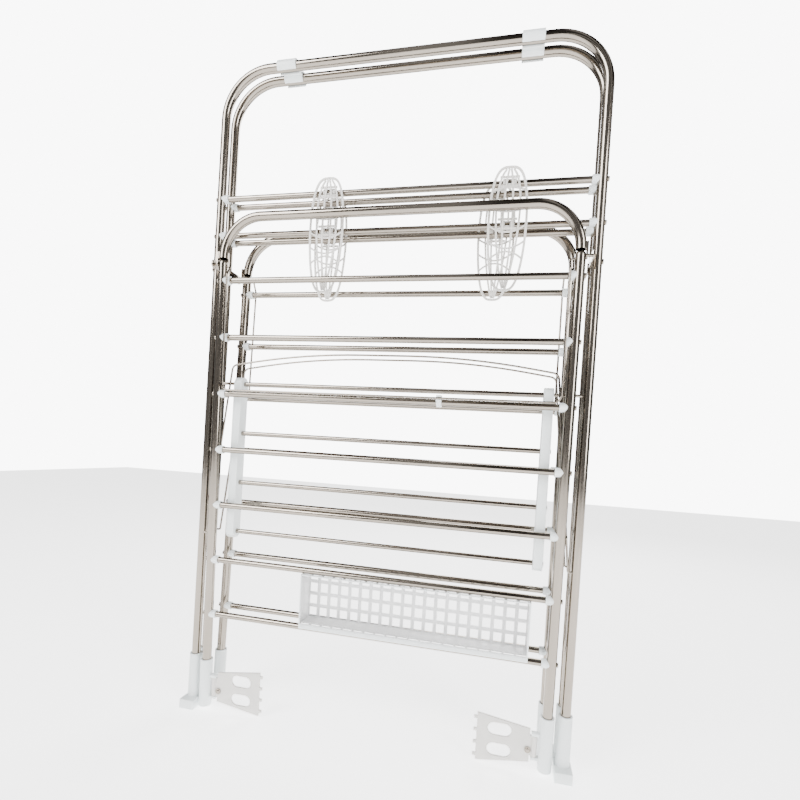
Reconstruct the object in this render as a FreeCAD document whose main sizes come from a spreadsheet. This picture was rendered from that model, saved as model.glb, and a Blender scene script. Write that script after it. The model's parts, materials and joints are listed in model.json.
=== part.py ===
import FreeCAD, Part
import math
import os
import re

# Folding clothes drying rack of polished steel tube with white plastic fittings.
# Units are millimetres, +Z is up, the origin is on the floor in the middle of the feet,
# and -Y is the front. Two tall U-shaped frames hang together at their top rails, each
# carries a wing of seven bars, and a small bar shelf hangs between them.

V = FreeCAD.Vector
X_AXIS = V(1, 0, 0)
Y_AXIS = V(0, 1, 0)
Z_AXIS = V(0, 0, 1)

DIMENSIONS = [
    # tubes, bars and wires
    ("tube_radius", 9.5, "frame and wing tube, 19 mm outside"),
    ("tube_wall", 0.8, "wall of the frame and wing tube"),
    ("bar_radius", 6.35, "drying bar, 12.7 mm outside"),
    ("bar_wall", 0.6, "wall of a drying bar"),
    ("shelf_bar_radius", 5.0, "bar of the middle shelf"),
    ("wire_radius", 2.0, "stay wires and rail wires"),
    # tall frames
    ("frame_center_x", 392, "centre of a frame leg from the middle plane"),
    ("frame_offset", 18, "centre plane of a frame from the middle plane"),
    ("rail_height", 1388, "centre of the top rail above the floor"),
    ("frame_corner_radius", 100, "bend of the frame at its top corners"),
    ("upper_bar_height", 1114, "upper shoe bar"),
    ("lower_bar_height", 1034, "lower shoe bar"),
    ("foot_length", 114, "foot sleeve from the floor"),
    ("foot_radius", 13, "foot sleeve outside"),
    ("foot_base_width", 32, "widened bottom of a foot, along X"),
    ("foot_base_depth", 44, "widened bottom of a foot, along Y"),
    ("foot_base_height", 20, "widened bottom of a foot"),
    ("foot_gap", 1.5, "widened bottom of a foot from the middle plane"),
    ("foot_floor", 6, "plastic under the end of a leg"),
    # collars and bolt heads
    ("collar_length", 9, "collar between the end of a bar and its tube"),
    ("collar_radius", 8.6, "collar outside"),
    ("collar_socket", 5, "length of bar held in its collar"),
    ("bolt_radius", 4.5, "head of a bar bolt"),
    ("bolt_height", 2.6, "head of a bar bolt"),
    # top clips
    ("clip_x", 252, "clip from the middle plane"),
    ("clip_length", 42, "clip along the rail"),
    ("clip_wall", 3.6, "wall of the clip ring"),
    ("clip_mouth", 13, "mouth of the clip ring"),
    ("turning_gap", 0.3, "radial room of the ring that turns on the rear rail"),
    # wing pivots
    ("pivot_height", 962, "axis of the wing pivot above the floor"),
    ("wing_offset", 48, "wing pivot from the middle plane"),
    ("wing_tilt", 1.4, "lean of a hanging wing, degrees, lower end inwards"),
    ("pin_radius", 3.0, "pivot pins"),
    ("pin_gap", 0.05, "radial running fit on the pins"),
    ("lug_thickness", 3.0, "plate that carries the wing pin on a frame leg"),
    ("lug_radius", 9.0, "half height of that plate"),
    ("saddle_depth", 6, "saddle of that plate round the leg"),
    ("rivet_radius", 4.8, "head of the rivet behind the lug"),
    ("rivet_height", 2.0, "head of the rivet behind the lug"),
    ("side_gap", 0.3, "room between parts that turn side by side"),
    # wings
    ("wing_inset", 33, "wing tube from the frame leg, centre to centre along X"),
    ("wing_center_x", "=frame_center_x - wing_inset", "centre of a wing tube from the middle plane"),
    ("wing_length", 950, "pivot axis to the end of the wing tube"),
    ("first_bar_drop", 35.5, "pivot axis to the first wing bar"),
    ("bar_pitch", 119.4, "spacing of the wing bars"),
    ("bow_rise", 96, "pivot axis to the rail of the top bow"),
    ("bow_corner_radius", 83, "bend of the top bow"),
    ("bow_gap", 1.2, "room between the round end of a wing tube and its bow"),
    ("tang_root", 13, "root of the tang beside the bow tube"),
    ("tang_thickness", 2.5, "flat tang that holds the bow on the pin"),
    ("tang_half_width", 7, "half width of the tang"),
    ("root_half_width", 6, "half width of the root of the tang"),
    ("sleeve_length", 102, "end sleeve of a wing tube"),
    ("sleeve_radius", 13, "end sleeve outside"),
    ("sleeve_floor", 5, "plastic under the end of a wing tube"),
    # stay wires on the wings
    ("stay_hole_drop", 6, "stay wire hole below the wing pivot"),
    ("stay_reach", 261, "stay wire hole to its cross run"),
    ("stay_front", 13, "stay wire in front of the wing plane"),
    ("stay_inset", 17, "stay wire arm from the wing tube, centre to centre"),
    ("stay_center_x", "=wing_center_x - stay_inset", "stay wire arm from the middle plane"),
    ("stay_corner", 14, "bend of the stay wire at its cross run"),
    ("wire_clip_x", 119, "wire clip from the middle plane"),
    ("wire_clip_width", 10, "wire clip along X"),
    # rail wires on the tall frames
    ("wire_foot_height", 384, "lower pivot of a rail wire"),
    ("wire_shift", 6, "rail wire in front of the frame plane"),
    ("wire_inset", 54, "upper corner of a rail wire from the frame leg"),
    ("wire_corner_x", "=frame_center_x - wire_inset", "upper corner of a rail wire from the middle plane"),
    ("wire_corner_height", 752, "upper corner of a rail wire"),
    ("wire_crown", 32, "rise of the bowed run above its corners"),
    # middle shelf
    ("shelf_height", 713, "shelf pivot above the floor"),
    ("shelf_shift", 12, "centre plane of the shelf in front of the middle plane"),
    ("shelf_inset", 60, "outer face of a shelf panel from the centre of the frame leg"),
    ("shelf_outer_x", "=frame_center_x - shelf_inset", "outer face of a shelf panel"),
    ("panel_thickness", 18, "shelf panel along X"),
    ("panel_half_depth", 14, "half depth and end radius of a shelf panel"),
    ("shelf_pitch", 107, "spacing of the shelf bars"),
    ("shelf_pin_depth", 11, "length of a shelf pin inside its panel"),
    ("screw_radius", 4, "head of a shelf screw"),
    ("screw_height", 2, "head of a shelf screw"),
    # shoe nets
    ("net_width", 80, "shoe net plate"),
    ("net_length", 238, "shoe net plate"),
    ("net_thickness", 3, "shoe net plate"),
    ("net_rise", 29, "top of a net above the upper bar"),
    ("net_clip_width", 26, "clip of a net on its bar"),
    ("net_clip_wall", 3, "wall of that clip"),
    ("net_gap", 0.35, "radial room of the net clips on their bars"),
    ("front_left_net_x", -140, "shoe net place"),
    ("front_right_net_x", 225, "shoe net place"),
    ("rear_left_net_x", -152, "shoe net place"),
    ("rear_right_net_x", 203, "shoe net place"),
    # tray
    ("tray_center_x", 85, "middle of the tray"),
    ("tray_width", 461, "tray along X"),
    ("tray_depth", 51, "tray from its rim to its floor"),
    ("tray_front", 9, "rim of the tray in front of the wing plane"),
    ("tray_wall", 2, "wall of the tray"),
    ("tray_gap", 0.8, "room between the tray and the bars beside it"),
    ("tray_lip", 8, "lip of the tray over the bar beside it"),
    # hanger plates
    ("plate_drop", 912, "middle of a hanger plate below the wing pivot"),
    ("plate_inset", 21, "pin of a hanger plate from the wing tube, centre to centre"),
    ("plate_pin_x", "=wing_center_x - plate_inset", "pin of a hanger plate from the middle plane"),
    ("plate_pin_radius", 2.5, "pin of a hanger plate"),
    ("plate_reach", 108, "hanger plate from its pin to its wide edge"),
    ("plate_narrow", 62, "hanger plate at its knuckle"),
    ("plate_wide", 94, "hanger plate at its wide edge"),
    ("plate_thickness", 4, "hanger plate"),
    ("plate_hole_place", 0.6, "middle of the oval holes, as a share of the reach"),
    ("plate_hole_rise", 20, "middle of an oval hole above or below the plate's middle"),
    ("plate_hole_radius", 12, "half height and end radius of an oval hole"),
    ("plate_hole_run", 20, "straight run of an oval hole"),
    ("knuckle_radius", 5.5, "knuckle of a hanger plate"),
    ("knuckle_length", 40, "knuckle of a hanger plate"),
    ("ear_height", 5, "ear of the sleeve that holds the plate pin"),
    ("ear_gap", 0.5, "room between an ear and the knuckle"),
    ("tooth_length", 6, "tooth on the wide edge"),
]

WING_BARS = 7
SHELF_BARS = 4
ALIASES = {name for name, value, note in DIMENSIONS}

doc = FreeCAD.newDocument("drying_rack")
sheet = doc.addObject("Spreadsheet::Sheet", "Sizes")
for row, (alias, value, note) in enumerate(DIMENSIONS, start=1):
    sheet.set("A%d" % row, note)
    sheet.set("B%d" % row, str(value))
    sheet.setAlias("B%d" % row, alias)
doc.recompute()

nodes = []
scratch = {"count": 0}


def size(alias):
    """Value of one cell of the sheet."""
    return float(sheet.get(alias))


def linked(text):
    """The same formula with every size name pointing at its cell."""
    pick = lambda found: "Sizes." + found.group() if found.group() in ALIASES else found.group()
    return re.sub(r"[a-z_]+[a-z0-9_]*", pick, str(text))


def add(kind):
    """New construction object with a running name."""
    scratch["count"] += 1
    return doc.addObject(kind, "%s_%d" % (kind.split("::")[1].lower(), scratch["count"]))


def bind(item, **formulas):
    """Tie properties of an object to formulas over the sheet."""
    for name, text in formulas.items():
        item.setExpression(name, linked(text))


def put(item, place, turn=None):
    """Turn an object, then tie the three coordinates of its place to the sheet."""
    if turn is not None:
        item.Placement = FreeCAD.Placement(V(0, 0, 0), turn)
    for name, text in zip("xyz", place):
        item.setExpression("Placement.Base." + name, linked(text))
    return item


def rod(place, length, radius, along="z"):
    """Round bar from a place, along one axis."""
    turns = {"x": FreeCAD.Rotation(Y_AXIS, 90), "y": FreeCAD.Rotation(X_AXIS, -90), "z": None}
    item = add("Part::Cylinder")
    bind(item, Height=length, Radius=radius)
    return put(item, place, turns[along])


def block(place, length, width, height):
    """Box with its low corner at a place."""
    item = add("Part::Box")
    bind(item, Length=length, Width=width, Height=height)
    return put(item, place)


def ball(place, radius):
    item = add("Part::Sphere")
    bind(item, Radius=radius)
    return put(item, place)


def bend(place, bend_radius, radius, left=False):
    """Quarter bend of a tube in the XZ plane, at an upper corner."""
    item = add("Part::Torus")
    bind(item, Radius1=bend_radius, Radius2=radius)
    item.Angle3 = 90
    turn = FreeCAD.Rotation(X_AXIS, 90)
    if left:
        turn = FreeCAD.Rotation(Y_AXIS, -90).multiply(turn)
    return put(item, place, turn)


def fuse(parts):
    if len(parts) == 1:
        return parts[0]
    item = add("Part::MultiFuse")
    item.Shapes = parts
    return item


def group(parts):
    item = add("Part::Compound")
    item.Links = parts
    return item


def cut(base, tool):
    item = add("Part::Cut")
    item.Base = base
    item.Tool = tool
    return item


def node(item, label):
    """Register a finished sub-part under its own name."""
    item.Label = label
    nodes.append(item)
    return item


def rest_on_frame(item, side):
    """Frame pieces are drawn in the plane y = 0 and moved out to the front or the rear."""
    turn = FreeCAD.Rotation(Z_AXIS, 0 if side == "front" else 180)
    sign = "-" if side == "front" else ""
    return put(item, ("0", sign + "frame_offset", "0"), turn)


def rest_on_wing(item, side):
    """Wing pieces are drawn about their pivot, hanging straight down, then leaned and placed."""
    turn = FreeCAD.Rotation(X_AXIS, size("wing_tilt"))
    if side == "rear":
        turn = FreeCAD.Rotation(Z_AXIS, 180).multiply(turn)
    sign = "-" if side == "front" else ""
    return put(item, ("0", sign + "wing_offset", "pivot_height"), turn)


def u_tube(center_x, foot, rail, corner):
    """Bent tube of two legs, two bends and a rail, each drawn hollow before they are joined."""
    leg = "%s - %s - (%s)" % (rail, corner, foot)
    bend_height = "%s - %s" % (rail, corner)
    half = "(%s - %s)" % (center_x, corner)
    inside = "tube_radius - tube_wall"
    parts = []
    for sign in ("-", ""):
        x = sign + center_x
        middle = (sign + half, "0", bend_height)
        parts.append(cut(rod((x, "0", foot), leg, "tube_radius"), rod((x, "0", foot), leg, inside)))
        outer = bend(middle, corner, "tube_radius", sign == "-")
        parts.append(cut(outer, bend(middle, corner, inside, sign == "-")))
    start = ("-" + half, "0", rail)
    parts.append(cut(rod(start, "2 * " + half, "tube_radius", "x"), rod(start, "2 * " + half, inside, "x")))
    return fuse(parts)


def bar(center_x, height, radius="bar_radius", wall="bar_wall"):
    """Hollow bar that ends inside its two collars."""
    half = "(%s - tube_radius - collar_length + collar_socket)" % center_x
    outer = rod(("-" + half, "0", height), "2 * " + half, radius, "x")
    bore = rod(("-" + half, "0", height), "2 * " + half, "%s - %s" % (radius, wall), "x")
    return cut(outer, bore)


def collars(center_x, heights, foot, top):
    """Saddle collars: each is a short cylinder that takes a bar end and sits round its tube."""
    blanks = []
    tools = []
    for height in heights:
        for sign in ("-", ""):
            outer = "%s - tube_radius - collar_length" % center_x
            start = outer if sign == "" else "-%s" % center_x
            blanks.append(rod((start, "0", height), "collar_length + tube_radius", "collar_radius", "x"))
        half = "(%s - tube_radius - collar_length + collar_socket)" % center_x
        tools.append(rod(("-" + half, "0", height), "2 * " + half, "bar_radius", "x"))
    for sign in ("-", ""):
        tools.append(rod((sign + center_x, "0", foot), "%s - (%s)" % (top, foot), "tube_radius"))
    return cut(group(blanks), group(tools))


def bolt_heads(center_x, heights):
    """Domed bolt heads on the outer side of the tubes, one at each end of every bar."""
    heads = []
    for height in heights:
        for sign in (-1, 1):
            seat = "%s + tube_radius - 0.4" % center_x
            start = seat if sign > 0 else "-(%s + tube_radius + bolt_height)" % center_x
            heads.append(rod((start, "0", height), "bolt_height + 0.4", "bolt_radius", "x"))
    tubes = []
    for sign in ("-", ""):
        low = "(%s) - 3 * bolt_radius" % heights[-1]
        run = "(%s) - (%s) + 6 * bolt_radius" % (heights[0], heights[-1])
        tubes.append(rod((sign + center_x, "0", low), run, "tube_radius"))
    return cut(group(heads), group(tubes))


def foot(x):
    """Foot sleeve with a widened bottom, and the socket that takes the leg."""
    sleeve = rod((x, "0", "0"), "foot_length", "foot_radius")
    low = ("%s - foot_base_width / 2" % x, "frame_offset - foot_gap - foot_base_depth", "0")
    base = block(low, "foot_base_width", "foot_base_depth", "foot_base_height")
    socket = rod((x, "0", "foot_floor"), "foot_length", "tube_radius")
    return cut(fuse([sleeve, base]), socket)


def pivot_pins():
    """A plate riveted to the inner side of each leg, with the pin of the wing and of its bow."""
    parts = []
    reach = "(wing_offset - frame_offset)"
    low = "pivot_height - lug_radius"
    face = "(frame_center_x - tube_radius)"
    inner = "(%s - lug_thickness)" % face
    for sign in (-1, 1):
        plate_x = inner if sign > 0 else "-" + face
        saddle_x = inner if sign > 0 else "-%s - saddle_depth" % inner
        pin_x = "wing_center_x - tube_radius" if sign > 0 else "-" + inner
        head_x = "frame_center_x + tube_radius" if sign > 0 else "-(frame_center_x + tube_radius + rivet_height)"
        pin_run = "%s - wing_center_x + tube_radius" % inner
        plate = block((plate_x, "-" + reach, low), "lug_thickness", reach, "2 * lug_radius")
        tip = rod((plate_x, "-" + reach, "pivot_height"), "lug_thickness", "lug_radius", "x")
        saddle = block((saddle_x, "-saddle_depth", low), "saddle_depth", "2 * saddle_depth", "2 * lug_radius")
        pin = rod((pin_x, "-" + reach, "pivot_height"), pin_run, "pin_radius", "x")
        head = rod((head_x, "0", "pivot_height"), "rivet_height", "rivet_radius", "x")
        parts += [fuse([plate, tip, saddle, pin]), head]
    legs = []
    for sign in ("-", ""):
        legs.append(rod((sign + "frame_center_x", "0", "pivot_height - 2 * lug_radius"), "4 * lug_radius",
                        "tube_radius"))
    return cut(group(parts), group(legs))


def top_bow():
    """Rounded bow above the wing: the flat tangs welded to its ends hang on the wing pins."""
    low = "(tube_radius + bow_gap)"
    parts = [u_tube("wing_center_x", low, "bow_rise", "bow_corner_radius")]
    bend_height = "bow_rise - bow_corner_radius"
    face = "(wing_center_x + tube_radius + side_gap)"
    root = "tube_radius + side_gap + tang_thickness"
    for sign in (-1, 1):
        mark = "-" if sign < 0 else ""
        tang_x = face if sign > 0 else "-(%s + tang_thickness)" % face
        root_x = "wing_center_x" if sign > 0 else tang_x
        strap = block((tang_x, "-tang_half_width", "0"), "tang_thickness", "2 * tang_half_width",
                      low + " + tang_root")
        tip = rod((tang_x, "0", "0"), "tang_thickness", "tang_half_width", "x")
        weld = block((root_x, "-root_half_width", low), root, "2 * root_half_width", "tang_root")
        end = rod((mark + "wing_center_x", "0", low), "%s - %s" % (bend_height, low), "tube_radius")
        middle = ("%s(wing_center_x - bow_corner_radius)" % mark, "0", bend_height)
        corner = bend(middle, "bow_corner_radius", "tube_radius", sign < 0)
        hole = rod((tang_x, "0", "0"), "tang_thickness", "pin_radius", "x")
        parts.append(cut(fuse([strap, tip, weld]), group([end, corner, hole])))
    return group(parts)


def wing_tube(x):
    """Wing tube with a round upper end on its pin, closed by the sleeve below."""
    outer = rod((x, "0", "-wing_length"), "wing_length", "tube_radius")
    bore = rod((x, "0", "-wing_length"), "wing_length - 2 * tube_radius", "tube_radius - tube_wall")
    start = "%s - 2 * tube_radius" % x
    hole = rod((start, "0", "0"), "4 * tube_radius", "pin_radius + pin_gap", "x")
    inner = "-wing_center_x + tube_radius - 3" if x.startswith("-") else "wing_center_x - tube_radius - 1"
    stay_hole = rod((inner, "0", "-stay_hole_drop"), "4", "wire_radius + pin_gap", "x")
    return cut(fuse([outer, ball((x, "0", "0"), "tube_radius")]), group([bore, hole, stay_hole]))


def wing_sleeves(with_ears):
    """End sleeves of a wing; on the front wing they carry the pins of the hanger plates."""
    sleeves = []
    low = "-(wing_length + sleeve_floor)"
    for sign in (-1, 1):
        mark = "-" if sign < 0 else ""
        parts = [rod((mark + "wing_center_x", "0", low), "sleeve_length", "sleeve_radius")]
        if with_ears:
            inner = "(plate_pin_x - knuckle_radius)"
            ear_x = inner if sign > 0 else "-wing_center_x"
            for z in ("-plate_drop + knuckle_length / 2 + ear_gap",
                      "-plate_drop - knuckle_length / 2 - ear_height - ear_gap"):
                reach = "wing_center_x - plate_pin_x + knuckle_radius"
                parts.append(block((ear_x, "-knuckle_radius", z), reach, "2 * knuckle_radius", "ear_height"))
            pin_low = "-plate_drop - knuckle_length / 2 - ear_height"
            pin_run = "knuckle_length + 2 * ear_height"
            parts.append(rod((mark + "plate_pin_x", "0", pin_low), pin_run, "plate_pin_radius"))
        socket = rod((mark + "wing_center_x", "0", "-wing_length"), "sleeve_length", "tube_radius")
        sleeves.append(cut(fuse(parts), socket))
    return group(sleeves)


def hanger_plate(sign):
    """Fan-shaped plate with two oval holes and four teeth on its wide edge."""
    mark = "-" if sign < 0 else ""
    knuckle_low = (mark + "plate_pin_x", "0", "-plate_drop - knuckle_length / 2")
    knuckle = rod(knuckle_low, "knuckle_length", "knuckle_radius")
    fan = add("Part::Wedge")
    bind(fan, Xmin="-plate_thickness / 2", Xmax="plate_thickness / 2", X2min="-plate_thickness / 2",
         X2max="plate_thickness / 2", Ymin="0", Ymax="plate_reach", Zmin="-plate_narrow / 2",
         Zmax="plate_narrow / 2", Z2min="-plate_wide / 2", Z2max="plate_wide / 2")
    put(fan, (mark + "plate_pin_x", "0", "-plate_drop"), FreeCAD.Rotation(Z_AXIS, 90 * sign))
    notches = []
    for end in (-1, 1):
        low = "-plate_drop + knuckle_length / 2" if end > 0 else "-plate_drop - knuckle_length / 2 - plate_wide"
        near = "-plate_pin_x - 20" if sign < 0 else "plate_pin_x - 8"
        notches.append(block((near, "-10", low), "28", "20", "plate_wide"))
    parts = [knuckle, cut(fan, group(notches))]
    far = "plate_pin_x - plate_reach"
    for count in range(4):
        tooth_x = "%s - tooth_length" % far if sign > 0 else "-(%s + 1)" % far
        z = "-plate_drop - plate_wide / 2 + plate_wide * %s" % (0.08 + 0.26 * count)
        parts.append(block((tooth_x, "-plate_thickness / 2", z), "tooth_length + 1", "plate_thickness", "6"))
    ovals = []
    middle = "%s(plate_pin_x - plate_reach * plate_hole_place)" % mark
    for side in ("-", "+"):
        z = "-plate_drop %s plate_hole_rise" % side
        ovals.append(block(("%s - plate_hole_run / 2" % middle, "-plate_thickness", "%s - plate_hole_radius" % z),
                           "plate_hole_run", "2 * plate_thickness", "2 * plate_hole_radius"))
        for end in ("-", "+"):
            place = ("%s %s plate_hole_run / 2" % (middle, end), "-plate_thickness", z)
            ovals.append(rod(place, "2 * plate_thickness", "plate_hole_radius", "y"))
    bore_low = "-plate_drop - knuckle_length"
    bore = rod((mark + "plate_pin_x", "0", bore_low), "2 * knuckle_length", "plate_pin_radius + pin_gap")
    return cut(fuse(parts), group(ovals + [bore]))


def wire_path(points, radii):
    """Straight runs joined by tangent arcs, one radius for each inner point."""
    edges = []
    last = points[0]
    for before, corner, after, radius in zip(points, points[1:], points[2:], radii):
        back = (before - corner).normalize()
        ahead = (after - corner).normalize()
        half = back.getAngle(ahead) / 2
        reach = radius / math.tan(half)
        middle = (back + ahead).normalize()
        start = corner + back * reach
        end = corner + ahead * reach
        top = corner + middle * (radius / math.sin(half) - radius)
        edges.append(Part.LineSegment(last, start).toShape())
        edges.append(Part.Arc(start, top, end).toShape())
        last = end
    edges.append(Part.LineSegment(last, points[-1]).toShape())
    return Part.Wire(edges)


def wire_solid(points, radii):
    """Round wire swept along such a path."""
    path = wire_path(points, radii)
    section = Part.Wire([Part.makeCircle(size("wire_radius"), points[0], points[1] - points[0])])
    item = doc.addObject("Part::Feature", "wire")
    item.Shape = path.makePipeShell([section], True, False)
    return item


def mirrored_run(half):
    """A run of points, then the same run mirrored across the middle plane and reversed."""
    return half + [V(-point.x, point.y, point.z) for point in reversed(half)]


def stay_wire():
    """U wire hooked into the wing tubes, lying in front of the first bars."""
    hole = size("wing_center_x") - size("tube_radius") + 1.2
    arm = size("stay_center_x")
    front = -size("stay_front")
    run = [V(-hole, 0, 0), V(-arm, 0, 0), V(-arm, front, -20), V(-arm, front, -size("stay_reach"))]
    bends = [2.6, 9, size("stay_corner")]
    return wire_solid(mirrored_run(run), bends + bends[::-1])


def rail_wire():
    """Bowed wire: its arms turn in the frame legs and its top run arches upwards."""
    hole = size("frame_center_x") - size("tube_radius") + 3.4
    foot_x = size("frame_center_x") - size("tube_radius") - 5
    rise = size("wire_corner_height") - size("wire_foot_height")
    crown = size("wire_crown")
    corner = size("wire_corner_x")
    run = [V(-hole, 0, 0), V(-foot_x, 0, 0), V(-corner, 0, rise), V(-corner / 2, 0, rise + 0.86 * crown)]
    bends = [3, 13, 1500]
    return wire_solid(mirrored_run(run), bends + bends[::-1])


def panel(left):
    """Side panel of the middle shelf, with round ends, about the shelf pivot."""
    x = "-shelf_outer_x" if left else "shelf_outer_x - panel_thickness"
    run = "%d * shelf_pitch" % (SHELF_BARS - 1)
    shift = "(frame_offset - shelf_shift)"
    low = (x, "%s - panel_half_depth" % shift, "-(%s)" % run)
    parts = [block(low, "panel_thickness", "2 * panel_half_depth", run)]
    for z in ("0", "-(%s)" % run):
        parts.append(rod((x, shift, z), "panel_thickness", "panel_half_depth", "x"))
    hole_run = "shelf_pin_depth + 2 * side_gap"
    hole_x = "-shelf_outer_x - side_gap" if left else "shelf_outer_x - shelf_pin_depth - side_gap"
    hole = rod((hole_x, "0", "0"), hole_run, "pin_radius + pin_gap", "x")
    return cut(fuse(parts), hole)


def shelf_bars():
    half = "(shelf_outer_x - panel_thickness)"
    start = "-" + half
    shift = "frame_offset - shelf_shift"
    return group([rod((start, shift, "-%d * shelf_pitch" % row), "2 * " + half, "shelf_bar_radius", "x")
                  for row in range(SHELF_BARS)])


def shelf_screws():
    heads = []
    for row in range(1, SHELF_BARS):
        for start in ("-(shelf_outer_x + screw_height)", "shelf_outer_x"):
            place = (start, "frame_offset - shelf_shift", "-%d * shelf_pitch" % row)
            heads.append(rod(place, "screw_height", "screw_radius", "x"))
    return group(heads)


def shelf_pins():
    """Pins from the inner side of each leg into the shelf panels."""
    run = "(frame_center_x - tube_radius - shelf_outer_x + shelf_pin_depth)"
    starts = ("-(frame_center_x - tube_radius)", "shelf_outer_x - shelf_pin_depth")
    return group([rod((x, "0", "0"), run, "pin_radius", "x") for x in starts])


def rest_on_shelf(item):
    return put(item, ("0", "-frame_offset", "shelf_height"), FreeCAD.Rotation(Z_AXIS, 0))


def top_clips():
    """Double rings: one grips the front rail, the rear rail turns in the other."""
    clips = []
    ring = "(tube_radius + clip_wall)"
    for sign in ("-", ""):
        x = "%sclip_x - clip_length / 2" % sign
        parts = []
        holes = []
        for y, gap in (("-frame_offset", "0"), ("frame_offset", "turning_gap")):
            parts.append(rod((x, y, "rail_height"), "clip_length", ring, "x"))
            holes.append(rod((x, y, "rail_height"), "clip_length", "tube_radius + " + gap, "x"))
            mouth = (x, "%s - clip_mouth / 2" % y, "rail_height - 2 * " + ring)
            holes.append(block(mouth, "clip_length", "clip_mouth", "2 * %s - 4" % ring))
        web = (x, "-frame_offset", "rail_height - 1")
        parts.append(block(web, "clip_length", "2 * frame_offset", "clip_wall + 2"))
        clips.append(cut(fuse(parts), group(holes)))
    return group(clips)


def shoe_net(center_x):
    """Long oval plate hung on two bars by a clip at each."""
    half = "net_width / 2"
    front = "-(bar_radius + net_gap + net_clip_wall)"
    back = "%s - net_thickness + 0.6" % front
    top = "(upper_bar_height + net_rise)"
    low = "(%s - net_length)" % top
    start = ("%s - %s" % (center_x, half), back, "%s + %s" % (low, half))
    parts = [block(start, "net_width", "net_thickness", "net_length - net_width")]
    for z in ("%s + %s" % (low, half), "%s - %s" % (top, half)):
        parts.append(rod((center_x, back, z), "net_thickness", half, "y"))
    holes = []
    for height in ("upper_bar_height", "lower_bar_height"):
        x = "%s - net_clip_width / 2" % center_x
        ring = "(bar_radius + net_gap + net_clip_wall)"
        parts.append(rod((x, "0", height), "net_clip_width", ring, "x"))
        holes.append(rod((x, "0", height), "net_clip_width", "bar_radius + net_gap", "x"))
        holes.append(block((x, "0", "%s - %s" % (height, ring)), "net_clip_width", ring, "%s - 3" % ring))
    return cut(fuse(parts), group(holes))


def tray():
    """Open tray between the last two wing bars, with a lip over the bar on each side."""
    upper = "(first_bar_drop + %d * bar_pitch)" % (WING_BARS - 2)
    lower = "(first_bar_drop + %d * bar_pitch)" % (WING_BARS - 1)
    x = "tray_center_x - tray_width / 2"
    top = "(-%s - bar_radius - tray_gap)" % upper
    low = "(-%s + bar_radius + tray_gap)" % lower
    shell = block((x, "-tray_front", low), "tray_width", "tray_depth", "%s - %s" % (top, low))
    front_lip = block((x, "-tray_front", "%s - tray_lip" % low), "tray_width", "tray_wall - 0.2", "tray_lip + 1")
    rear_lip = block((x, "bar_radius + tray_gap", "%s - 1" % top), "tray_width", "tray_wall", "tray_lip")
    start = ("%s + tray_wall" % x, "-tray_front - tray_wall", "%s + tray_wall" % low)
    inside = block(start, "tray_width - 2 * tray_wall", "tray_depth", "%s - %s - 2 * tray_wall" % (top, low))
    return cut(fuse([shell, front_lip, rear_lip]), inside)


def wire_clip():
    """Small clip on the third bar, with an open groove for the cross run of the stay wire."""
    z = "-(first_bar_drop + 2 * bar_pitch)"
    run_z = "-(stay_hole_drop + stay_reach)"
    x = "wire_clip_x - wire_clip_width / 2"
    ring = rod((x, "0", z), "wire_clip_width", "bar_radius + 2.6", "x")
    nose = block((x, "-stay_front - 1", "%s - 6" % run_z), "wire_clip_width", "stay_front", "12")
    bore = rod((x, "0", z), "wire_clip_width", "bar_radius", "x")
    groove = block((x, "-stay_front - 6", "%s - wire_radius - 0.5" % run_z), "wire_clip_width",
                   "wire_radius + 6.5", "2 * wire_radius + 1")
    return cut(fuse([ring, nose]), group([bore, groove]))


def frame_nodes(side):
    """Everything that is fixed to one tall frame."""
    bars = ["upper_bar_height", "lower_bar_height"]
    tube = u_tube("frame_center_x", "foot_floor", "rail_height", "frame_corner_radius")
    wire_holes = []
    for x in ("-frame_center_x", "frame_center_x - tube_radius"):
        start = (x, "-wire_shift", "wire_foot_height")
        wire_holes.append(rod(start, "tube_radius", "wire_radius + pin_gap", "x"))
    node(rest_on_frame(cut(tube, group(wire_holes)), side), side + "_frame_tube")
    node(rest_on_frame(bar("frame_center_x", bars[0]), side), side + "_upper_bar")
    node(rest_on_frame(bar("frame_center_x", bars[1]), side), side + "_lower_bar")
    collar_item = collars("frame_center_x", bars, "lower_bar_height - 40", "upper_bar_height + 40")
    node(rest_on_frame(collar_item, side), side + "_frame_collars")
    node(rest_on_frame(bolt_heads("frame_center_x", bars), side), side + "_frame_bolts")
    for hand, sign in (("left", -1), ("right", 1)):
        local = sign if side == "front" else -sign
        x = "-frame_center_x" if local < 0 else "frame_center_x"
        node(rest_on_frame(foot(x), side), "%s_%s_foot" % (side, hand))
    node(rest_on_frame(pivot_pins(), side), side + "_pivot_pins")
    node(rest_on_wing(top_bow(), side), side + "_bow")


def wing_nodes(side):
    """Everything that swings with one wing."""
    for hand, sign in (("left", -1), ("right", 1)):
        local = sign if side == "front" else -sign
        x = "-wing_center_x" if local < 0 else "wing_center_x"
        node(rest_on_wing(wing_tube(x), side), "%s_wing_%s_tube" % (side, hand))
    heights = ["-(first_bar_drop + %d * bar_pitch)" % row for row in range(WING_BARS)]
    for row, height in enumerate(heights):
        node(rest_on_wing(bar("wing_center_x", height), side), "%s_wing_bar_%d" % (side, row + 1))
    collar_item = collars("wing_center_x", heights, "-wing_length", "-tube_radius")
    node(rest_on_wing(collar_item, side), side + "_wing_collars")
    node(rest_on_wing(bolt_heads("wing_center_x", heights), side), side + "_wing_bolts")
    node(rest_on_wing(wing_sleeves(side == "front"), side), side + "_wing_sleeves")


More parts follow.
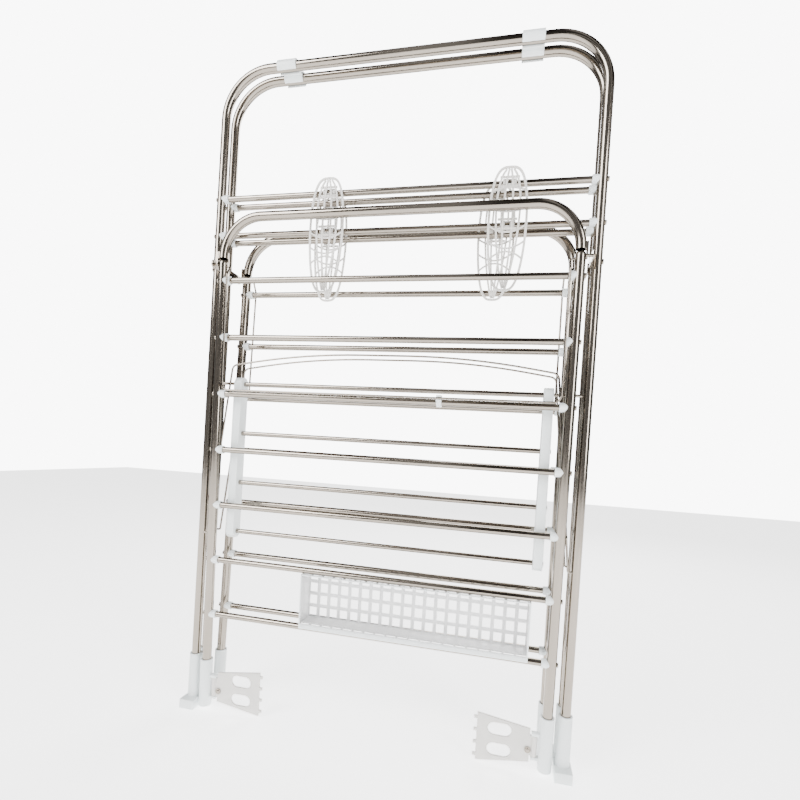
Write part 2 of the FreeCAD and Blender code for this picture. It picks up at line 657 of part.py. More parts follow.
frame_nodes("front")
frame_nodes("rear")
node(top_clips(), "top_clips")
wing_nodes("front")
wing_nodes("rear")
node(rest_on_wing(wire_clip(), "front"), "wire_clip")
node(rest_on_wing(tray(), "front"), "tray")
node(rest_on_wing(hanger_plate(-1), "front"), "left_hanger_plate")
node(rest_on_wing(hanger_plate(1), "front"), "right_hanger_plate")
node(rest_on_shelf(panel(True)), "shelf_left_panel")
node(rest_on_shelf(panel(False)), "shelf_right_panel")
node(rest_on_shelf(shelf_bars()), "shelf_bars")
node(rest_on_shelf(shelf_screws()), "shelf_screws")
node(rest_on_shelf(shelf_pins()), "shelf_pins")
for side, mark in (("front", 1), ("rear", -1)):
    for hand in ("left", "right"):
        alias = "%s_%s_net_x" % (side, hand)
        center = alias if side == "front" else "(-%s)" % alias
        node(rest_on_frame(shoe_net(center), side), "%s_%s_net" % (side, hand))
doc.recompute()

# The four bent wires are swept solids, so their places are set from the sheet here.
for side, mark in (("front", -1), ("rear", 1)):
    half_turn = FreeCAD.Rotation(Z_AXIS, 0 if side == "front" else 180)
    stay = stay_wire()
    lean = half_turn.multiply(FreeCAD.Rotation(X_AXIS, size("wing_tilt")))
    pivot = V(0, mark * size("wing_offset"), size("pivot_height"))
    drop = lean.multVec(V(0, 0, -size("stay_hole_drop")))
    stay.Placement = FreeCAD.Placement(pivot + drop, lean)
    node(stay, side + "_stay_wire")
    rail = rail_wire()
    plane = mark * (size("frame_offset") + size("wire_shift"))
    rail.Placement = FreeCAD.Placement(V(0, plane, size("wire_foot_height")), half_turn)
    node(rail, side + "_rail_wire")
doc.recompute()

faults = [item.Name for item in doc.Objects if "Invalid" in item.State or "Error" in item.State]
for item in nodes:
    if item.Shape.isNull() or not item.Shape.isValid() or not item.Shape.Solids:
        faults.append(item.Label)
if faults:
    raise RuntimeError("failed objects: " + ", ".join(faults))

os.makedirs("parts", exist_ok=True)
for item in nodes:
    item.Shape.exportStep("parts/%s.step" % item.Label)
print("wrote %d nodes" % len(nodes))
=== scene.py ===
"""Folding clothes drying rack: polished stainless tube with moulded plastic fittings."""
import json
import math

import bmesh
import bpy
from mathutils import Matrix, Vector


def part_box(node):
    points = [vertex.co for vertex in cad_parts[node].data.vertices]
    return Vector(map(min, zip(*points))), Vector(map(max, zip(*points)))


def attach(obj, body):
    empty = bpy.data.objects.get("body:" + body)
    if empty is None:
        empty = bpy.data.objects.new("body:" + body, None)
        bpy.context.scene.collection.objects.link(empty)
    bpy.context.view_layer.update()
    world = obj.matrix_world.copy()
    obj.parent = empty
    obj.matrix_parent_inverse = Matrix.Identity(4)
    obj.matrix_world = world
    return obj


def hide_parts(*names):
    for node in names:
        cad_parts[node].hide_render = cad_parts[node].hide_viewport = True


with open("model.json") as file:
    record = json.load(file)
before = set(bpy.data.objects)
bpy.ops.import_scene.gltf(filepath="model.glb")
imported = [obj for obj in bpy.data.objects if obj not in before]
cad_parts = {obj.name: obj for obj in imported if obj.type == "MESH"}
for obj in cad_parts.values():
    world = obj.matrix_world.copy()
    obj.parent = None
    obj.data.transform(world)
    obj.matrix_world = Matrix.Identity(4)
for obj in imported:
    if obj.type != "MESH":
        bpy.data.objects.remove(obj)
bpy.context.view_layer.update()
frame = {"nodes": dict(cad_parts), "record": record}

bl_info = {
    "name": "Clothes Drying Rack",
    "version": (1, 0, 0),
    "blender": (4, 5, 0),
    "location": "View3D > Sidebar > Rack",
    "description": "Finishes and moulded details of a folding clothes drying rack",
    "category": "Object",
}

MM = 0.001
SIDES = ("front", "rear")
HANDS = ("left", "right")
WING_TILT = math.radians(1.4)
CLOSE = 1e-6
CLIP_ROOM = 0.35 * MM
CLIP_HALF = 13 * MM
CLIP_ARM = 8 * MM
STRAP_HALF = 1.4 * CLIP_HALF
STRAP_DEPTH = 3 * MM
STRAP_RISE = 2 * MM
TRAY_LIP = 8 * MM
TRAY_STEP = 2 * MM
TRAY_BEAD = 2.6 * MM
BEAD_PROUD = 0.4 * MM
LIP_OVERLAP = 1 * MM
UPPER_LIP_Y = 7.15 * MM
UPPER_LIP_INSET = 4 * MM
SLOT_RIB = 2.2 * MM
PIVOT_DEPTH = 9 * MM
SCREW_DOME = 4.5 * MM
WASHER_RADIUS = 6 * MM
WASHER_DEPTH = 1.6 * MM
SCREW_INSET = 17 * MM
SCREW_FRONT = 3.2 * MM
SCREW_DROP = 8 * MM


def linear(code):
    """An sRGB hex colour as linear red, green and blue."""
    values = [int(code[i:i + 2], 16) / 255 for i in (1, 3, 5)]
    return tuple(v / 12.92 if v <= 0.04045 else ((v + 0.055) / 1.055) ** 2.4 for v in values)


# ---------------------------------------------------------------- settings

def color_prop(name, description, code):
    return bpy.props.FloatVectorProperty(name=name, description=description, default=linear(code),
                                         subtype="COLOR", size=3, min=0, max=1)


def length_prop(name, description, value):
    return bpy.props.FloatProperty(name=name, description=description, default=value * MM,
                                   unit="LENGTH", subtype="DISTANCE", min=0)


class RackFinish(bpy.types.PropertyGroup):
    """Colours and gloss of the four materials."""
    steel: color_prop("Steel", "Tone of the polished tube", "#8f877d")
    steel_roughness: bpy.props.FloatProperty(name="Polish", description="Roughness of the polished tube",
                                             default=0.13, subtype="FACTOR", min=0, max=1)
    fitting: color_prop("Fittings", "Milky white of feet, collars and clips", "#e3e8e8")
    net: color_prop("Nets", "Warm white of nets and hanger plates", "#cfccc7")
    tray: color_prop("Tray", "Milky white of the tray", "#ececec")


class RackDetail(bpy.types.PropertyGroup):
    """Sizes of the moulded details."""
    edge: length_prop("Edge", "Rounding of moulded edges", 1.0)
    net_rib: length_prop("Net rib", "Half width of a rib of the shoe nets", 1.9)
    net_thickness: length_prop("Net thickness", "Thickness of the shoe nets", 2.8)
    clip_wall: length_prop("Clip wall", "Wall of the net clips", 2.6)
    tray_wall: length_prop("Tray wall", "Wall of the tray", 1.8)
    tray_pitch: length_prop("Tray pitch", "Spacing of the square holes of the tray", 23.5)
    tray_rib: length_prop("Tray rib", "Half width of a rib of the tray floor", 3.6)


class RackStudio(bpy.types.PropertyGroup):
    """Lens, rise, place and turn of the camera."""
    lens: bpy.props.FloatProperty(name="Lens", description="Focal length in mm on a 36 mm sensor",
                                  default=21.55)
    shift: bpy.props.FloatProperty(name="Rise", description="Vertical shift of the lens", default=0.071)
    place: bpy.props.FloatVectorProperty(name="Camera", description="Place of the camera", size=3,
                                         default=(0.249, -0.962, 0.593), subtype="TRANSLATION", unit="LENGTH")
    turn: bpy.props.FloatVectorProperty(name="Turn", description="Pan, rise and roll of the camera", size=3,
                                        default=[math.radians(a) for a in (12.3, 89.1, 3.6)], unit="ROTATION")


# ---------------------------------------------------------------- materials

def add_node(tree, kind, links=(), **settings):
    """A node with its settings, and its links as (input, source socket)."""
    item = tree.nodes.new(kind)
    for name, value in settings.items():
        if name in item.inputs:
            item.inputs[name].default_value = value
        else:
            setattr(item, name, value)
    for name, source in links:
        tree.links.new(source, item.inputs[name])
    return item


def stretched(tree, scale, detail=3.0):
    """Noise on Object coordinates, with one scale for each axis, in cycles per metre."""
    coordinates = add_node(tree, "ShaderNodeTexCoord")
    mapping = add_node(tree, "ShaderNodeMapping", [("Vector", coordinates.outputs["Object"])], Scale=scale)
    return add_node(tree, "ShaderNodeTexNoise", [("Vector", mapping.outputs["Vector"])],
                    Scale=1.0, Detail=detail, Roughness=0.6)


def spread(tree, source, low, high):
    """The source, spread from low to high."""
    return add_node(tree, "ShaderNodeMapRange", [("Value", source)],
                    **{"From Min": 0.3, "From Max": 0.7, "To Min": low, "To Max": high}).outputs["Result"]


def tinted(tree, source, low, high):
    """A colour between two tones, by the source."""
    ramp = add_node(tree, "ShaderNodeValToRGB", [("Fac", source)])
    ramp.color_ramp.elements[0].position = 0.3
    ramp.color_ramp.elements[0].color = (*low, 1)
    ramp.color_ramp.elements[1].position = 0.7
    ramp.color_ramp.elements[1].color = (*high, 1)
    return ramp.outputs["Color"]


def new_material(name):
    material = bpy.data.materials.new(name)
    material.use_nodes = True
    tree = material.node_tree
    return material, tree, tree.nodes["Principled BSDF"]


def toned(color, factor):
    return tuple(c * factor for c in color)


def polished_stainless(name, scale):
    """Drawn and polished stainless steel: fine draw lines along the run and faint clouding."""
    finish = bpy.context.scene.rack_finish
    material, tree, shader = new_material(name)
    lines = stretched(tree, scale, 2.0)
    clouds = stretched(tree, (9, 9, 9), 4.0)
    color = tinted(tree, clouds.outputs["Fac"], toned(finish.steel, 0.9), finish.steel)
    tree.links.new(color, shader.inputs["Base Color"])
    shader.inputs["Metallic"].default_value = 1.0
    rough = spread(tree, lines.outputs["Fac"], finish.steel_roughness * 0.8, finish.steel_roughness * 1.35)
    tree.links.new(rough, shader.inputs["Roughness"])
    bump = add_node(tree, "ShaderNodeBump", [("Height", lines.outputs["Fac"])],
                    Strength=0.06, Distance=0.00005)
    tree.links.new(bump.outputs["Normal"], shader.inputs["Normal"])
    return material


def moulded_plastic(name, color, roughness, scatter, clearness=0.0):
    """Injection-moulded polypropylene: milky, with faint flow clouding and a fine spark texture."""
    material, tree, shader = new_material(name)
    clouds = stretched(tree, (28, 28, 14), 4.0)
    # A real spark texture is about 0.2 mm; it is drawn at about 0.9 mm so that it shows.
    grain = stretched(tree, (1100, 1100, 1100), 2.0)
    tone = tinted(tree, clouds.outputs["Fac"], toned(color, 0.93), color)
    tree.links.new(tone, shader.inputs["Base Color"])
    rough = spread(tree, grain.outputs["Fac"], roughness * 0.85, roughness * 1.2)
    tree.links.new(rough, shader.inputs["Roughness"])
    shader.inputs["IOR"].default_value = 1.49
    shader.inputs["Subsurface Weight"].default_value = scatter
    shader.inputs["Subsurface Radius"].default_value = (1.0, 1.0, 0.95)
    shader.inputs["Subsurface Scale"].default_value = 3 * MM
    shader.inputs["Transmission Weight"].default_value = clearness
    bump = add_node(tree, "ShaderNodeBump", [("Height", grain.outputs["Fac"])],
                    Strength=0.12, Distance=0.00008)
    tree.links.new(bump.outputs["Normal"], shader.inputs["Normal"])
    return material


def material_for(key):
    """Each material is made once, when it is first asked for."""
    finish = bpy.context.scene.rack_finish
    made = {
        "steel_upright": ("polished_stainless_tube", lambda n: polished_stainless(n, (1500, 1500, 14))),
        "steel_level": ("polished_stainless_bar", lambda n: polished_stainless(n, (14, 1500, 1500))),
        "steel_wire": ("polished_stainless_wire", lambda n: polished_stainless(n, (400, 400, 400))),
        "fitting": ("moulded_polypropylene_fitting",
                    lambda n: moulded_plastic(n, finish.fitting, 0.38, 0.25)),
        "net": ("moulded_polypropylene_net", lambda n: moulded_plastic(n, finish.net, 0.36, 0.2)),
        "tray": ("moulded_polypropylene_tray", lambda n: moulded_plastic(n, finish.tray, 0.3, 0.1, 0.35)),
    }
    name, build = made[key]
    return bpy.data.materials.get(name) or build(name)


def cover(obj, key):
    """One material over the whole of an object."""
    obj.data.materials.clear()
    obj.data.materials.append(material_for(key))
    return obj


# ---------------------------------------------------------------- pieces

def body_of_node(name):
    """The body that a frame node rides on."""
    for body, names in frame["record"]["behaviour"]["bodies"].items():
        if name in names:
            return body
    raise RuntimeError("no body holds " + name)


def rounded(width, degrees):
    """A bevel modifier on the edges sharper than an angle."""
    return ("BEVEL", {"width": width, "segments": 2, "limit_method": "ANGLE",
                      "angle_limit": math.radians(degrees)})


def add_part(bm, part):
    """Puts the geometry of one bmesh into another and frees it."""
    spare = bpy.data.meshes.new("part")
    part.to_mesh(spare)
    part.free()
    bm.from_mesh(spare)
    bpy.data.meshes.remove(spare)


def finish_piece(name, bm, node_name, key, modifiers=(), flat_angle=35):
    """Makes a bmesh into a piece that stands for one frame node and rides on its body."""
    bmesh.ops.recalc_face_normals(bm, faces=bm.faces)
    mesh = bpy.data.meshes.new(name)
    bm.to_mesh(mesh)
    bm.free()
    obj = bpy.data.objects.new(name, mesh)
    bpy.context.collection.objects.link(obj)
    for kind, settings in modifiers:
        modifier = obj.modifiers.new(kind.lower(), kind)
        for setting, value in settings.items():
            setattr(modifier, setting, value)
    mesh.shade_smooth()
    mesh.set_sharp_from_angle(angle=math.radians(flat_angle))
    cover(obj, key)
    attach(obj, body_of_node(node_name))
    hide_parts(node_name)
    return obj


def softened(node_name, key, width, segments=3):
    """A copy of a moulded frame node with its hard edges rounded."""
    bm = bmesh.new()
    bm.from_mesh(frame["nodes"][node_name].data)
    bmesh.ops.remove_doubles(bm, verts=bm.verts, dist=CLOSE)
    bmesh.ops.dissolve_limit(bm, angle_limit=math.radians(0.5), verts=bm.verts, edges=bm.edges)
    hard = [e for e in bm.edges if e.is_manifold and e.calc_face_angle(0) > math.radians(50)]
    bmesh.ops.bevel(bm, geom=hard, offset=width, offset_type="OFFSET", affect="EDGES", segments=segments,
                    profile=0.5, material=-1, clamp_overlap=True)
    return finish_piece(node_name + "_moulding", bm, node_name, key)


def add_block(bm, low, high, rounding, segments=2):
    """A block between two corners with rounded edges, added to a bmesh."""
    low = Vector(low)
    high = Vector(high)
    made = bmesh.ops.create_cube(bm, size=1.0)["verts"]
    bmesh.ops.scale(bm, vec=high - low, verts=made)
    bmesh.ops.translate(bm, vec=(high + low) / 2, verts=made)
    edges = list({e for v in made for e in v.link_edges})
    bmesh.ops.bevel(bm, geom=edges, offset=rounding, offset_type="OFFSET", affect="EDGES", segments=segments,
                    profile=0.5, material=-1, clamp_overlap=True)


def add_ring_part(bm, center, x_low, x_high, inner, outer, start, sweep):
    """Part of a clip ring about a bar along X: its section is spun from a start angle."""
    corners = [(x_low, inner), (x_high, inner), (x_high, outer), (x_low, outer)]
    verts = []
    for x, radius in corners:
        point = Vector((x, center.y + radius * math.cos(start), center.z + radius * math.sin(start)))
        verts.append(bm.verts.new(point))
    face = bm.faces.new(verts)
    steps = max(6, int(abs(sweep) / math.radians(9)))
    turned = bmesh.ops.spin(bm, geom=[face] + list(face.edges) + verts, cent=center, axis=(1, 0, 0),
                            angle=sweep, steps=steps, use_duplicate=False)
    return turned


def holed_grid(columns, rows, place, rib):
    """A sheet of ribs: each cell of a grid is inset and its middle removed."""
    bm = bmesh.new()
    bmesh.ops.create_grid(bm, x_segments=columns, y_segments=rows, size=1.0)
    for vert in bm.verts:
        vert.co = place(vert.co.x, vert.co.y)
    cells = bm.faces[:]
    bmesh.ops.recalc_face_normals(bm, faces=bm.faces)
    bmesh.ops.inset_individual(bm, faces=cells, thickness=rib, use_even_offset=True)
    bmesh.ops.delete(bm, geom=cells, context="FACES_ONLY")
    return bm


def add_ribbon(bm, line, steps, half_width, thickness, y):
    """A flat rib that follows a line in the plane of a net; the line gives X and Z from 0 to 1."""
    strip = bmesh.new()
    bmesh.ops.create_grid(strip, x_segments=steps, y_segments=1, size=1.0)
    for vert in strip.verts:
        along = (vert.co.x + 1) / 2
        here = Vector(line(along))
        step = (Vector(line(along + 0.002)) - Vector(line(along - 0.002))).normalized()
        side = Vector((-step.y, step.x)) * half_width * vert.co.y
        vert.co = Vector((here.x + side.x, y, here.y + side.y))
    close = (Vector(line(0)) - Vector(line(1))).length < CLOSE
    if close:
        bmesh.ops.remove_doubles(strip, verts=strip.verts, dist=0.05 * MM)
    bmesh.ops.recalc_face_normals(strip, faces=strip.faces)
    bmesh.ops.solidify(strip, geom=strip.faces[:], thickness=thickness)
    middle = sum((v.co.y for v in strip.verts)) / len(strip.verts)
    bmesh.ops.translate(strip, vec=(0, y - middle, 0), verts=strip.verts)
    add_part(bm, strip)


def net_ribs(bm, center, half_width, half_length, rib, thickness, y):
    """Oval rim, four long ribs that draw together at the toe, and five bowed cross ribs."""
    def bulge(v):
        return (max(0.0, 1 - abs(v) ** 3.0)) ** 0.5 * (1 - 0.14 * (1 - v) / 2)

    def rim(t):
        turn = t * 2 * math.pi
        v = math.sin(turn)
        width = abs(math.cos(turn)) ** 0.62 * (1 - 0.14 * (1 - v) / 2)
        x = half_width * math.copysign(width, math.cos(turn))
        return (center.x + x, center.z + half_length * v)

    add_ribbon(bm, rim, 72, rib * 1.2, thickness, y)
    for start, end in ((-0.6, -0.26), (-0.17, -0.08), (0.17, 0.08), (0.6, 0.26)):
        def long_rib(t, start=start, end=end):
            v = 0.97 - 1.94 * t
            bow = 0.10 * math.copysign(math.sin(math.pi * t), start)
            u = start + (end - start) * max(t, 0.0) ** 1.6 + bow
            return (center.x + half_width * u * max(bulge(v), 0.25), center.z + half_length * v)
        add_ribbon(bm, long_rib, 24, rib, thickness * 0.9, y)
    for height, sag in ((0.62, -0.05), (0.34, 0.06), (0.06, 0.11), (-0.2, 0.12), (-0.5, -0.13)):
        def cross_rib(t, height=height, sag=sag):
            u = 2 * t - 1
            v = height - sag * (1 - u * u)
            return (center.x + half_width * u * bulge(height), center.z + half_length * v)
        add_ribbon(bm, cross_rib, 16, rib * 0.9, thickness * 0.8, y)


def shoe_net(side, hand):
    """Long oval net plate with a clip on each of two bars."""
    detail = bpy.context.scene.rack_detail
    node_name = "%s_%s_net" % (side, hand)
    low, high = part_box(node_name)
    outward = -1 if side == "front" else 1
    face_y = low.y if side == "front" else high.y
    plate_y = face_y - outward * detail.net_thickness / 2
    center = Vector(((low.x + high.x) / 2, plate_y, (low.z + high.z) / 2))
    half_width = (high.x - low.x) / 2 - 1.3 * detail.net_rib
    half_length = (high.z - low.z) / 2 - 1.3 * detail.net_rib
    bm = bmesh.new()
    net_ribs(bm, center, half_width, half_length, detail.net_rib, detail.net_thickness, plate_y)
    finish_piece("%s_%s_net_plate" % (side, hand), bm, node_name, "net", [rounded(0.6 * MM, 60)], 40)
    clips = bmesh.new()
    for bar in ("upper", "lower"):
        bar_low, bar_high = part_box("%s_%s_bar" % (side, bar))
        middle = (bar_low + bar_high) / 2
        inner = (bar_high.z - bar_low.z) / 2 + CLIP_ROOM
        outer = inner + detail.clip_wall
        open_angle = math.radians(180 + 75) if side == "front" else math.radians(-75)
        sweep = math.radians(255) * outward
        ends = [center.x + x * CLIP_HALF for x in (-1, 1)]
        for edge, near in ((ends[0], ends[0] + CLIP_ARM), (ends[1] - CLIP_ARM, ends[1])):
            add_ring_part(clips, middle, edge, near, inner, outer, open_angle, sweep)
        for start in (118, 222):
            bridge = math.radians(start) if side == "front" else math.radians(180 - start)
            add_ring_part(clips, middle, ends[0], ends[1], inner, outer - 0.2 * MM, bridge,
                          math.radians(24) * outward)
        for z in (-1, 1):
            height = middle.z + z * (outer - 0.5 * MM)
            y_edge = sorted((plate_y, plate_y - outward * STRAP_DEPTH))
            add_block(clips, (center.x - STRAP_HALF, y_edge[0], height - STRAP_RISE),
                      (center.x + STRAP_HALF, y_edge[1], height + STRAP_RISE), 0.6 * MM)
    finish_piece("%s_%s_net_clips" % (side, hand), clips, node_name, "net", [rounded(0.4 * MM, 60)])


def wing_turn():
    """The lean of the front wing about its pivot."""
    low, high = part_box("front_pivot_pins")
    pivot = Matrix.Translation((0, low.y + PIVOT_DEPTH, (low.z + high.z) / 2))
    return pivot @ Matrix.Rotation(WING_TILT, 4, "X")


def wall_grid(columns, rows, place):
    """A wall of the tray as a plain grid."""
    part = bmesh.new()
    bmesh.ops.create_grid(part, x_segments=columns, y_segments=rows, size=1.0)
    for vert in part.verts:
        vert.co = place(vert.co.x, vert.co.y)
    return part


def cut_slots(part):
    """Cuts a row of slots along the front edge of a tray wall."""
    first = min(round(f.calc_center_median().y, 5) for f in part.faces)
    cut = [f for f in part.faces if abs(f.calc_center_median().y - first) < MM]
    bmesh.ops.recalc_face_normals(part, faces=part.faces)
    bmesh.ops.inset_individual(part, faces=cut, thickness=SLOT_RIB, use_even_offset=True)
    bmesh.ops.delete(part, geom=cut, context="FACES_ONLY")
    return part


def tray_basket(low, high, bottom, top, turn):
    """Holed floor, slotted top and bottom walls and plain ends."""
    detail = bpy.context.scene.rack_detail
    wall = detail.tray_wall
    width = high.x - low.x
    columns = int(width / detail.tray_pitch + 0.5)

    def along(u):
        return low.x + width * (u + 1) / 2

    def depth(v):
        return low.y + TRAY_STEP + (high.y - wall / 2 - low.y - TRAY_STEP) * (v + 1) / 2

    def rise(v):
        return bottom + (top - bottom) * (v + 1) / 2

    bm = holed_grid(columns, 4, lambda u, v: Vector((along(u), high.y - wall / 2, rise(v))), detail.tray_rib)
    for z in (bottom + wall / 2, top - wall / 2):
        add_part(bm, cut_slots(wall_grid(columns, 4, lambda u, v, z=z: Vector((along(u), depth(v), z)))))
    for x in (low.x + wall / 2, high.x - wall / 2):
        add_part(bm, wall_grid(2, 3, lambda u, v, x=x: Vector((x, depth(u), rise(v)))))
    bmesh.ops.transform(bm, matrix=turn, verts=bm.verts)
    finish_piece("tray_basket", bm, "tray", "tray",
                 [("SOLIDIFY", {"thickness": wall, "offset": 0}), rounded(0.4 * MM, 50)])


def tray_rim(low, high, bottom, top, turn):
    """Bead round the mouth of the tray, and its lower and upper lip."""
    wall = bpy.context.scene.rack_detail.tray_wall
    front = low.y
    rim = bmesh.new()
    for z in (bottom - BEAD_PROUD, top - TRAY_BEAD + BEAD_PROUD):
        add_block(rim, (low.x, front, z), (high.x, front + TRAY_BEAD, z + TRAY_BEAD), 1.0 * MM)
    for x in (low.x, high.x - TRAY_BEAD):
        add_block(rim, (x, front, bottom), (x + TRAY_BEAD, front + TRAY_BEAD, top), 1.0 * MM)
    add_block(rim, (low.x, front, low.z), (high.x, front + wall, bottom + LIP_OVERLAP), 0.7 * MM)
    add_block(rim, (low.x + UPPER_LIP_INSET, UPPER_LIP_Y, top - LIP_OVERLAP),
              (high.x - UPPER_LIP_INSET, UPPER_LIP_Y + wall, high.z), 0.7 * MM)
    bmesh.ops.transform(rim, matrix=turn, verts=rim.verts)
    finish_piece("tray_rim", rim, "tray", "fitting")


def tray_piece():
    """Open tray, drawn upright and then leaned with the front wing."""
    turn = wing_turn()
    back = turn.inverted()
    local = [back @ v.co for v in frame["nodes"]["tray"].data.vertices]
    low = Vector([min(p[i] for p in local) for i in range(3)])
    high = Vector([max(p[i] for p in local) for i in range(3)])
    bottom = low.z + TRAY_LIP
    top = high.z - TRAY_LIP + LIP_OVERLAP
    tray_basket(low, high, bottom, top, turn)
    tray_rim(low, high, bottom, top, turn)


# ---------------------------------------------------------------- operators

class RACK_OT_tubes(bpy.types.Operator):
    """Polished finish of frames, wing tubes and bows"""
    bl_idname = "rack.tubes"
    bl_label = "Tubes"

    def execute(self, context):
        for side in SIDES:
            for name in ("%s_frame_tube", "%s_wing_left_tube", "%s_wing_right_tube"):
                cover(frame["nodes"][name % side], "steel_upright")
            cover(frame["nodes"][side + "_bow"], "steel_level")
        return {"FINISHED"}


class RACK_OT_bars(bpy.types.Operator):
    """Polished finish of every bar"""
    bl_idname = "rack.bars"
    bl_label = "Bars"

    def execute(self, context):
        names = ["shelf_bars"]
        for side in SIDES:
            names += ["%s_upper_bar" % side, "%s_lower_bar" % side]
            names += ["%s_wing_bar_%d" % (side, row) for row in range(1, 8)]
        for name in names:
            cover(frame["nodes"][name], "steel_level")
        return {"FINISHED"}


class RACK_OT_wires(bpy.types.Operator):
    """Polished finish of wires, pins and screws"""
    bl_idname = "rack.wires"
    bl_label = "Wires and pins"

    def execute(self, context):
        names = ["shelf_pins", "shelf_screws"]
        for side in SIDES:
            names += [side + tail for tail in ("_stay_wire", "_rail_wire", "_pivot_pins")]
        for name in names:
            cover(frame["nodes"][name], "steel_wire")
        return {"FINISHED"}


class RACK_OT_bolts(bpy.types.Operator):
    """Domed heads of the bar bolts"""
    bl_idname = "rack.bolts"
    bl_label = "Bolts"

    def execute(self, context):
        for side in SIDES:
            for part in ("frame", "wing"):
                softened("%s_%s_bolts" % (side, part), "steel_wire", 1.2 * MM, 4)
        return {"FINISHED"}


class RACK_OT_fittings(bpy.types.Operator):
    """Moulded feet, sleeves, collars, clips and shelf panels"""
    bl_idname = "rack.fittings"
    bl_label = "Fittings"

    def execute(self, context):
        edge = context.scene.rack_detail.edge
        for side in SIDES:
            for hand in HANDS:
                softened("%s_%s_foot" % (side, hand), "fitting", edge * 1.6)
            for part in ("frame", "wing"):
                softened("%s_%s_collars" % (side, part), "fitting", edge * 0.8)
            softened(side + "_wing_sleeves", "fitting", edge)
        softened("top_clips", "fitting", edge * 0.8)
        softened("wire_clip", "fitting", edge * 0.5)
        for hand in HANDS:
            softened("shelf_%s_panel" % hand, "fitting", edge * 1.5)
        return {"FINISHED"}


class RACK_OT_plates(bpy.types.Operator):
    """Moulded hanger plates"""
    bl_idname = "rack.plates"
    bl_label = "Hanger plates"

    def execute(self, context):
        for hand, sign in zip(HANDS, (1, -1)):
            node_name = hand + "_hanger_plate"
            softened(node_name, "net", context.scene.rack_detail.edge)
            low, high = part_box(node_name)
            pin = low.x if hand == "left" else high.x
            bm = bmesh.new()
            dome = bmesh.ops.create_uvsphere(bm, u_segments=32, v_segments=16, radius=SCREW_DOME)["verts"]
            bmesh.ops.scale(bm, vec=(1, 0.55, 1), verts=dome)
            neck = bmesh.ops.create_cone(bm, segments=32, radius1=WASHER_RADIUS, radius2=WASHER_RADIUS,
                                         depth=WASHER_DEPTH, cap_ends=True)["verts"]
            upright = Matrix.Rotation(math.radians(90), 3, "X")
            bmesh.ops.rotate(bm, cent=(0, 0, 0), matrix=upright, verts=neck)
            middle_y = (low.y + high.y) / 2
            place = (pin + sign * SCREW_INSET, middle_y - SCREW_FRONT, (low.z + high.z) / 2 - SCREW_DROP)
            bmesh.ops.translate(bm, vec=place, verts=bm.verts)
            finish_piece(hand + "_plate_screw", bm, node_name, "steel_wire")
        return {"FINISHED"}


class RACK_OT_nets(bpy.types.Operator):
    """Four shoe nets with their clips"""
    bl_idname = "rack.nets"
    bl_label = "Shoe nets"

    def execute(self, context):
        for side in SIDES:
            for hand in HANDS:
                shoe_net(side, hand)
        return {"FINISHED"}


class RACK_OT_tray(bpy.types.Operator):
    """Tray with its holed floor and rim"""
    bl_idname = "rack.tray"
    bl_label = "Tray"

    def execute(self, context):
        tray_piece()
        return {"FINISHED"}


def soft_box(name, place, target, size, power):
    """Large soft light that faces a target."""
    data = bpy.data.lights.new(name, "AREA")
    data.shape = "RECTANGLE"
    data.size, data.size_y = size
    data.energy = power
    light = bpy.data.objects.new(name, data)
    light.location = place
    light.rotation_euler = (Vector(target) - Vector(place)).to_track_quat("-Z", "Y").to_euler()
    bpy.context.collection.objects.link(light)


def studio_floor():
    """Pale painted floor that gives off a little light."""
    bm = bmesh.new()
    bmesh.ops.create_grid(bm, x_segments=1, y_segments=1, size=6.0)
    mesh = bpy.data.meshes.new("studio_floor")
    bm.to_mesh(mesh)
    bm.free()
    floor = bpy.data.objects.new("studio_floor", mesh)
    bpy.context.collection.objects.link(floor)
    material, tree, shader = new_material("painted_floor")
    clouds = stretched(tree, (2, 2, 2))
    tree.links.new(tinted(tree, clouds.outputs["Fac"], linear("#f6f6f6"), linear("#fafafa")),
                   shader.inputs["Base Color"])
    shader.inputs["Roughness"].default_value = 0.9
    shader.inputs["Emission Color"].default_value = (1, 1, 1, 1)
    shader.inputs["Emission Strength"].default_value = 3.0
    mesh.materials.append(material)


def studio_world():
    """Bright backdrop to the eye; broad dark and light bands in the reflections."""
    world = bpy.data.worlds.new("studio")
    bpy.context.scene.world = world
    world.use_nodes = True
    sky = world.node_tree
    backdrop = sky.nodes["Background"]
    coordinates = add_node(sky, "ShaderNodeTexCoord")
    bands = add_node(sky, "ShaderNodeTexWave", [("Vector", coordinates.outputs["Generated"])],
                     Scale=0.9, Distortion=1.2, Detail=1.0, bands_direction="X")
    tone = add_node(sky, "ShaderNodeValToRGB", [("Fac", bands.outputs["Fac"])])
    tone.color_ramp.elements[0].position = 0.35
    tone.color_ramp.elements[0].color = (*linear("#2e2a26"), 1)
    tone.color_ramp.elements[1].position = 0.75
    tone.color_ramp.elements[1].color = (0.62, 0.62, 0.62, 1)
    path = add_node(sky, "ShaderNodeLightPath")
    seen = add_node(sky, "ShaderNodeMix", data_type="RGBA")
    sky.links.new(path.outputs["Is Camera Ray"], seen.inputs[0])
    sky.links.new(tone.outputs["Color"], seen.inputs[6])
    seen.inputs[7].default_value = (9.0, 9.0, 9.0, 1)
    sky.links.new(seen.outputs[2], backdrop.inputs["Color"])
    backdrop.inputs["Strength"].default_value = 1.0


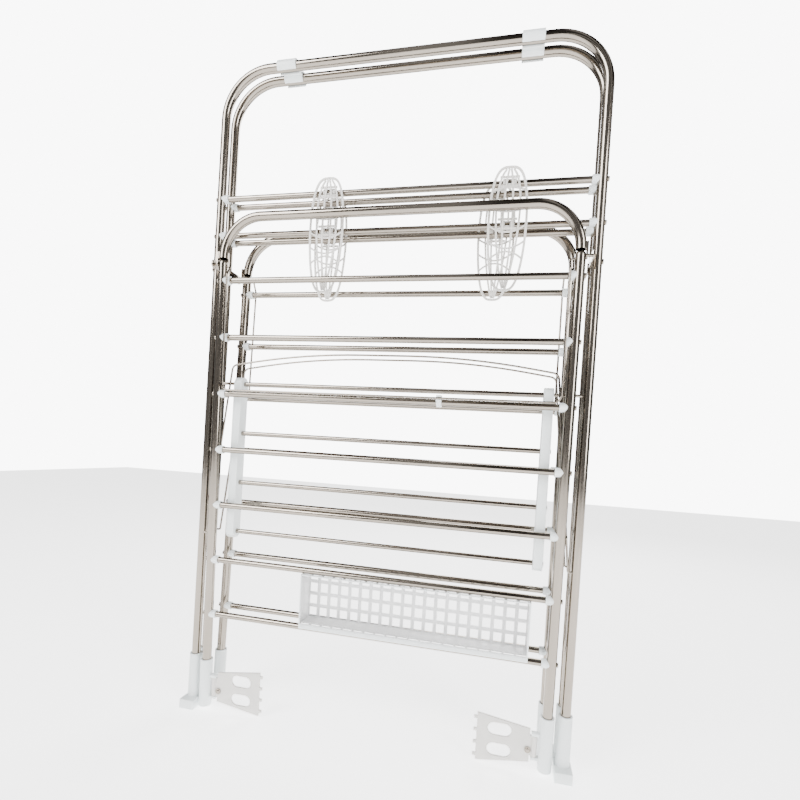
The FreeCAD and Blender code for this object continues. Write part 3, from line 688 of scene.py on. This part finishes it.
def studio_camera():
    """Camera at the place and turn of the settings."""
    studio = bpy.context.scene.rack_studio
    data = bpy.data.cameras.new("camera")
    data.lens = studio.lens
    data.sensor_width = 36
    data.shift_y = studio.shift
    camera = bpy.data.objects.new("camera", data)
    pan, rise, roll = studio.turn
    turn = Matrix.Rotation(pan, 4, "Z") @ Matrix.Rotation(rise, 4, "X") @ Matrix.Rotation(roll, 4, "Z")
    camera.matrix_world = Matrix.Translation(studio.place) @ turn
    bpy.context.collection.objects.link(camera)
    bpy.context.scene.camera = camera


class RACK_OT_stage(bpy.types.Operator):
    """Pale floor, soft light and camera"""
    bl_idname = "rack.stage"
    bl_label = "Studio"

    def execute(self, context):
        studio_floor()
        studio_world()
        target = (0, 0, 0.75)
        soft_box("key_light", (-1.6, -2.0, 2.4), target, (1.4, 1.8), 130)
        soft_box("fill_light", (2.2, -1.6, 1.5), target, (0.8, 2.0), 80)
        soft_box("back_light", (0.4, 2.4, 2.2), target, (1.6, 1.2), 90)
        studio_camera()
        return {"FINISHED"}


class RACK_PT_panel(bpy.types.Panel):
    """Steps and settings of the rack"""
    bl_idname = "RACK_PT_panel"
    bl_label = "Drying rack"
    bl_space_type = "VIEW_3D"
    bl_region_type = "UI"
    bl_category = "Rack"

    def draw(self, context):
        for step in STEPS:
            self.layout.operator(step.bl_idname)
        for group in ("rack_finish", "rack_detail", "rack_studio"):
            settings = getattr(context.scene, group)
            for name in settings.__annotations__:
                self.layout.prop(settings, name)


GROUPS = {"rack_finish": RackFinish, "rack_detail": RackDetail, "rack_studio": RackStudio}
STEPS = (RACK_OT_tubes, RACK_OT_bars, RACK_OT_wires, RACK_OT_bolts, RACK_OT_fittings, RACK_OT_plates,
         RACK_OT_nets, RACK_OT_tray, RACK_OT_stage)
CLASSES = (*GROUPS.values(), *STEPS, RACK_PT_panel)


def register():
    for item in CLASSES:
        bpy.utils.register_class(item)
    for name, group in GROUPS.items():
        setattr(bpy.types.Scene, name, bpy.props.PointerProperty(type=group))


def unregister():
    for name in GROUPS:
        delattr(bpy.types.Scene, name)
    for item in reversed(CLASSES):
        bpy.utils.unregister_class(item)


def main():
    """Runs every step in order."""
    register()
    for step in STEPS:
        family, action = step.bl_idname.split(".")
        getattr(getattr(bpy.ops, family), action)()


if __name__ == "__main__":
    main()
